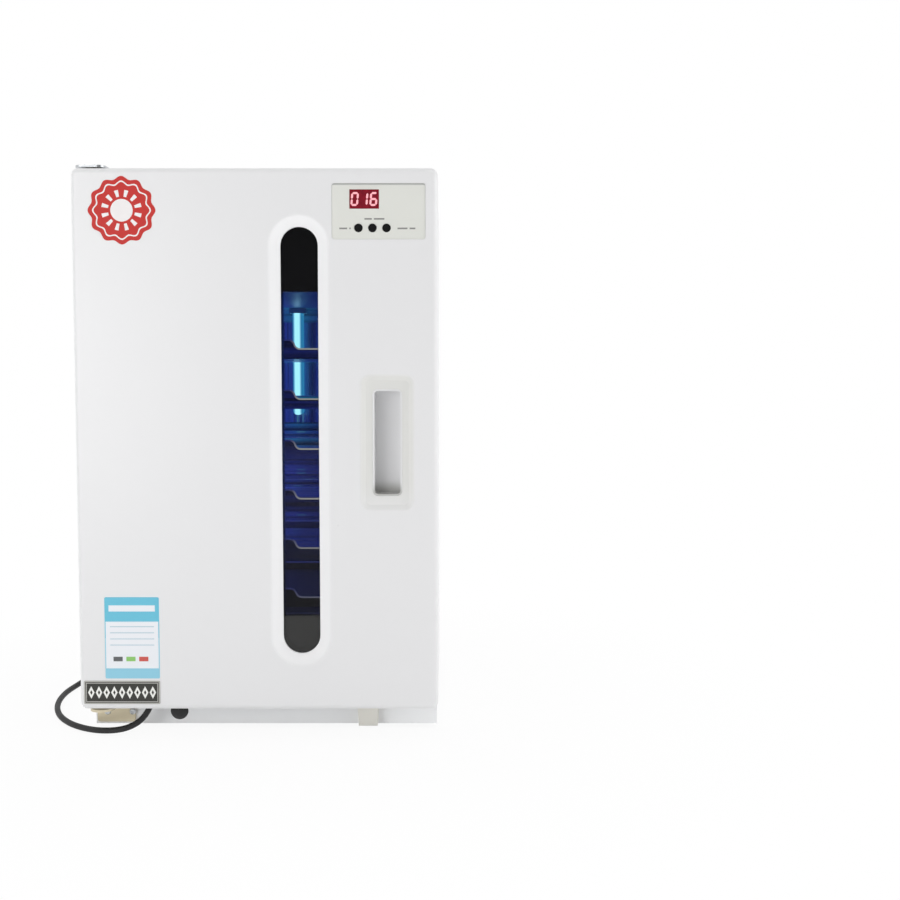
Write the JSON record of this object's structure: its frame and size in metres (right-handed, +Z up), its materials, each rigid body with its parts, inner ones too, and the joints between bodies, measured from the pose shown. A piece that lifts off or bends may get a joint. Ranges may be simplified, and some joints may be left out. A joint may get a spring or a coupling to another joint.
{
  "type": "uv sterilizer",
  "caption": "Countertop ultraviolet cabinet: hinged door with a tall tinted window, sunken pull and push buttons, over a lit chamber of sliding trays.",
  "frame": {"origin": "on the floor plane, at the middle of the cabinet's width and of its depth with the door closed, the cable left out", "axes": "+Z up, the door faces -Y, +X to the viewer's right; the hinge is at -X"},
  "size_m": [0.4214, 0.347, 0.5598],
  "materials": {
    "white_steel": "satin powder coat",
    "white_moulding": "gloss",
    "white_liner": "fine satin",
    "panel_grey": "satin film",
    "white_nylon": "matte",
    "stainless": "brushed",
    "bright_zinc": "zinc plated",
    "mirror_sheet": "polished",
    "cream_zinc": "yellow passivated",
    "lamp_glass": "clear, lit",
    "tinted_pane": "gloss, dark tint",
    "red_lens": "gloss",
    "black_plastic": "fine texture",
    "black_rubber": "matte",
    "grey_rubber": "matte",
    "board_green": "matte",
    "white_ceramic": "glazed",
    "brass_pin": "plain"
  },
  "bodies": {
    "cabinet": {"cabinet_shell": "white_steel", "back_panel": "white_steel", "base_pan": "white_steel", "plinth": "white_steel", "front_frame": "white_liner", "inner_liner": "stainless", "tray_rack_left": "stainless", "tray_rack_right": "stainless", "tray_ledges": "stainless", "tray_stops": "stainless", "lamp_tubes": "lamp_glass", "lamp_base": "white_ceramic", "lamp_holder": "white_ceramic", "lamp_reflector": "mirror_sheet", "ballast": "bright_zinc", "power_inlet": "black_plastic", "inlet_pins": "brass_pin", "reed_switch": "white_nylon", "rubber_feet": "black_rubber", "plinth_bumper": "black_rubber", "door_rest": "white_nylon", "top_hinge_plate": "white_steel", "top_hinge_pin": "bright_zinc", "bottom_hinge_bracket": "cream_zinc", "bottom_hinge_pin": "bright_zinc", "hinge_screws": "bright_zinc", "back_screws": "bright_zinc", "cable_grommet": "black_rubber", "door_cable": "black_rubber"},
    "door": {"door_shell": "white_moulding", "door_inner_panel": "white_liner", "window_pane": "tinted_pane", "handle_cup": "white_liner", "control_panel": "panel_grey", "display_module": "red_lens", "control_board": "board_green", "tact_switches": "black_plastic", "board_screws": "bright_zinc", "door_gasket": "grey_rubber", "hinge_bush_top": "black_plastic", "hinge_bush_bottom": "black_plastic", "door_screws": "bright_zinc", "cable_gland": "black_rubber", "door_magnet": "black_plastic"},
    "button_left": {"button_left": "black_plastic"},
    "button_middle": {"button_middle": "black_plastic"},
    "button_right": {"button_right": "black_plastic"},
    "tray_1": {"tray_1": "stainless"},
    "tray_2": {"tray_2": "stainless"},
    "tray_3": {"tray_3": "stainless"},
    "tray_4": {"tray_4": "stainless"},
    "tray_5": {"tray_5": "stainless"},
    "tray_6": {"tray_6": "stainless"}
  },
  "joints": [
    {"name": "door_hinge", "type": "hinge", "parent": "cabinet", "child": "door", "pos_m": [-0.158, -0.1545, 0.2925], "axis": [0, 0, -1], "range_deg": [0, 110]},
    {"name": "button_left_press", "type": "slide", "parent": "door", "child": "button_left", "axis": [0, 1, 0], "range_m": [0, 0.0008], "stiffness_N_per_m": 400, "springref_m": -0.0005},
    {"name": "button_middle_press", "type": "slide", "parent": "door", "child": "button_middle", "axis": [0, 1, 0], "range_m": [0, 0.0008], "stiffness_N_per_m": 400, "springref_m": -0.0005},
    {"name": "button_right_press", "type": "slide", "parent": "door", "child": "button_right", "axis": [0, 1, 0], "range_m": [0, 0.0008], "stiffness_N_per_m": 400, "springref_m": -0.0005},
    {"name": "tray_1_slide", "type": "slide", "parent": "cabinet", "child": "tray_1", "axis": [0, -1, 0], "range_m": [0, 0.02]},
    {"name": "tray_2_slide", "type": "slide", "parent": "cabinet", "child": "tray_2", "axis": [0, -1, 0], "range_m": [0, 0.02]},
    {"name": "tray_3_slide", "type": "slide", "parent": "cabinet", "child": "tray_3", "axis": [0, -1, 0], "range_m": [0, 0.02]},
    {"name": "tray_4_slide", "type": "slide", "parent": "cabinet", "child": "tray_4", "axis": [0, -1, 0], "range_m": [0, 0.02]},
    {"name": "tray_5_slide", "type": "slide", "parent": "cabinet", "child": "tray_5", "axis": [0, -1, 0], "range_m": [0, 0.02]},
    {"name": "tray_6_slide", "type": "slide", "parent": "cabinet", "child": "tray_6", "axis": [0, -1, 0], "range_m": [0, 0.02]}
  ]
}
